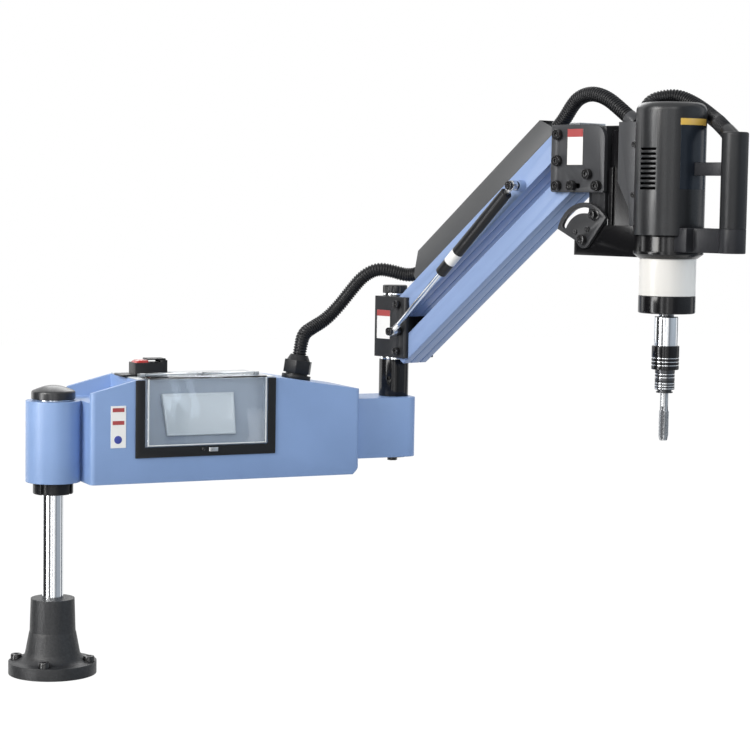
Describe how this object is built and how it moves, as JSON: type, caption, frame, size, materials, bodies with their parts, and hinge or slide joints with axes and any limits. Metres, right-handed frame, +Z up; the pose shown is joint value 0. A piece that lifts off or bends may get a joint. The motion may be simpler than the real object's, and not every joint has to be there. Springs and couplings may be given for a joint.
{
  "type": "arm tapping machine",
  "caption": "Bench-mounted electric tapping machine with a swivelling lower arm, a gas-spring parallelogram arm and a tilting head",
  "frame": {"origin": "centre of the base's underside, on the column's axis", "axes": "+Z up along the column, +X along the lower arm at rest"},
  "size_m": [0.9512, 0.804, 0.9732],
  "materials": {
    "blue_paint": "fine pebbled blue enamel",
    "dark_paint": "satin dark grey paint",
    "pale_paint": "fine pebbled pale blue enamel",
    "lid_paint": "satin light grey paint",
    "cover_paint": "satin grey paint",
    "motor_paint": "satin grey-black paint",
    "black_gloss": "gloss black enamel",
    "white_paint": "gloss white enamel",
    "bright_steel": "ground and polished steel",
    "dark_steel": "blackened steel",
    "bronze": "machined bronze",
    "tool_steel": "ground high-speed steel",
    "black_plastic": "fine textured black plastic",
    "hose_plastic": "satin black corrugated plastic",
    "screen_plastic": "pale screen in a grey frame",
    "clear_plastic": "clear sheet plastic",
    "red_plastic": "gloss red plastic",
    "unit_metal": "plain metal case"
  },
  "bodies": {
    "base": {"base_casting": "dark_paint", "column": "bright_steel", "collar_nut": "black_gloss", "cap_ring": "bright_steel", "column_cap": "black_plastic"},
    "lower_arm": {"arm_casting": "blue_paint", "hub_bushes": "bronze", "elbow_bushes": "bronze", "top_plate": "lid_paint", "drive_unit": "unit_metal", "panel_bezel": "black_plastic", "control_console": "lid_paint", "touch_screen": "screen_plastic", "cover_hinge": "bright_steel", "switch_housing": "black_plastic", "cable_gland": "black_plastic", "elbow_hose": "hose_plastic"},
    "cover": {"clear_cover": "clear_plastic"},
    "button": {"stop_button": "red_plastic"},
    "flap": {"switch_flap": "black_plastic"},
    "elbow": {"elbow_post": "dark_steel", "elbow_rings": "bright_steel", "elbow_block": "dark_paint", "elbow_knob": "black_plastic", "elbow_pins": "dark_steel", "post_retainer": "dark_steel", "spring_stud": "dark_steel"},
    "upper_link": {"upper_bar": "pale_paint", "cable_cover": "cover_paint"},
    "lower_link": {"lower_bar": "pale_paint"},
    "spring_rod": {"gas_rod": "bright_steel", "rod_eye": "bright_steel"},
    "spring_tube": {"gas_cylinder": "black_plastic", "cylinder_eye": "bright_steel", "upper_stud": "dark_steel"},
    "head_bracket": {"head_plate_near": "dark_paint", "head_plate_far": "dark_paint", "head_core": "dark_paint", "head_bolts": "dark_steel", "slot_bolt": "dark_steel", "head_hose": "hose_plastic"},
    "head_carriage": {"tilt_pin": "dark_steel", "tilt_sector": "dark_paint", "motor_bracket": "black_gloss", "wire_box": "dark_paint", "motor_housing": "motor_paint", "motor_core": "unit_metal", "gearbox": "white_paint", "spindle_nose": "black_gloss", "nose_bearing": "dark_steel", "handle_arm": "black_gloss", "handle_grip": "black_plastic", "handle_hose": "hose_plastic"},
    "grip_button": {"handle_push": "black_plastic"},
    "spindle_unit": {"spindle": "bright_steel", "tap_holder": "dark_steel", "tap": "tool_steel"},
    "sleeve": {"chuck_sleeve": "dark_steel"},
    "collar": {"holder_collar": "dark_steel"}
  },
  "joints": [
    {"name": "base_swivel", "type": "hinge", "parent": "base", "child": "lower_arm", "pos_m": [0, 0, 0.386], "axis": [0, 0, 1], "continuous": true},
    {"name": "cover_turn", "type": "hinge", "parent": "lower_arm", "child": "cover", "pos_m": [0.241, -0.0385, 0.4946], "axis": [-1, 0, 0], "range_deg": [0, 110]},
    {"name": "stop_press", "type": "slide", "parent": "lower_arm", "child": "button", "axis": [0, 0, -1], "range_m": [0, 0.0025], "stiffness_N_per_m": 2000, "springref_m": -0.001},
    {"name": "flap_turn", "type": "hinge", "parent": "lower_arm", "child": "flap", "pos_m": [0.1881, 0, 0.514], "axis": [0, 1, 0], "range_deg": [0, 100]},
    {"name": "elbow_swivel", "type": "hinge", "parent": "lower_arm", "child": "elbow", "pos_m": [0.618, 0, 0.4], "axis": [0, 0, 1], "range_deg": [-62, 208], "deforming": ["elbow_hose"]},
    {"name": "arm_lift", "type": "hinge", "parent": "elbow", "child": "upper_link", "pos_m": [0.63174, -0.04495, 0.6095], "axis": [-0.9563, -0.2924, 0], "range_deg": [-50, 12]},
    {"name": "lower_link_turn", "type": "hinge", "parent": "elbow", "child": "lower_link", "pos_m": [0.63174, -0.04495, 0.5285], "axis": [-0.9563, -0.2924, 0], "range_deg": [-50, 12]},
    {"name": "head_level", "type": "hinge", "parent": "upper_link", "child": "head_bracket", "pos_m": [0.74009, -0.39934, 0.89695], "axis": [-0.9563, -0.2924, 0], "range_deg": [-12, 50]},
    {"name": "spring_swing", "type": "hinge", "parent": "elbow", "child": "spring_rod", "pos_m": [0.58495, -0.06291, 0.5633], "axis": [-0.9563, -0.2924, 0], "range_deg": [-50, 12]},
    {"name": "spring_slide", "type": "slide", "parent": "spring_rod", "child": "spring_tube", "axis": [0.2175, -0.7116, 0.6681], "range_m": [-0.04, 0.012]},
    {"name": "head_tilt", "type": "hinge", "parent": "head_bracket", "child": "head_carriage", "pos_m": [0.75658, -0.45327, 0.73205], "axis": [-0.9563, -0.2924, 0], "range_deg": [-90, 0], "deforming": ["head_hose"]},
    {"name": "grip_press", "type": "slide", "parent": "head_carriage", "child": "grip_button", "axis": [-0.9563, -0.2924, 0], "range_m": [0, 0.002], "stiffness_N_per_m": 1500, "springref_m": -0.001},
    {"name": "spindle_spin", "type": "hinge", "parent": "head_carriage", "child": "spindle_unit", "pos_m": [0.79927, -0.59289, 0.6], "axis": [0, 0, 1], "continuous": true},
    {"name": "sleeve_slide", "type": "slide", "parent": "spindle_unit", "child": "sleeve", "axis": [0, 0, 1], "range_m": [0, 0.006], "stiffness_N_per_m": 1500, "springref_m": -0.002},
    {"name": "collar_slide", "type": "slide", "parent": "spindle_unit", "child": "collar", "axis": [0, 0, -1], "range_m": [0, 0.0027], "stiffness_N_per_m": 1000, "springref_m": -0.002}
  ],
  "couplings": [
    {"joint": "lower_link_turn", "follows": "arm_lift", "ratio": 1},
    {"joint": "head_level", "follows": "arm_lift", "ratio": -1},
    {"joint": "spring_swing", "follows": "arm_lift", "ratio": 0.962},
    {"joint": "spring_slide", "follows": "arm_lift", "m_per_rad": 0.043}
  ]
}
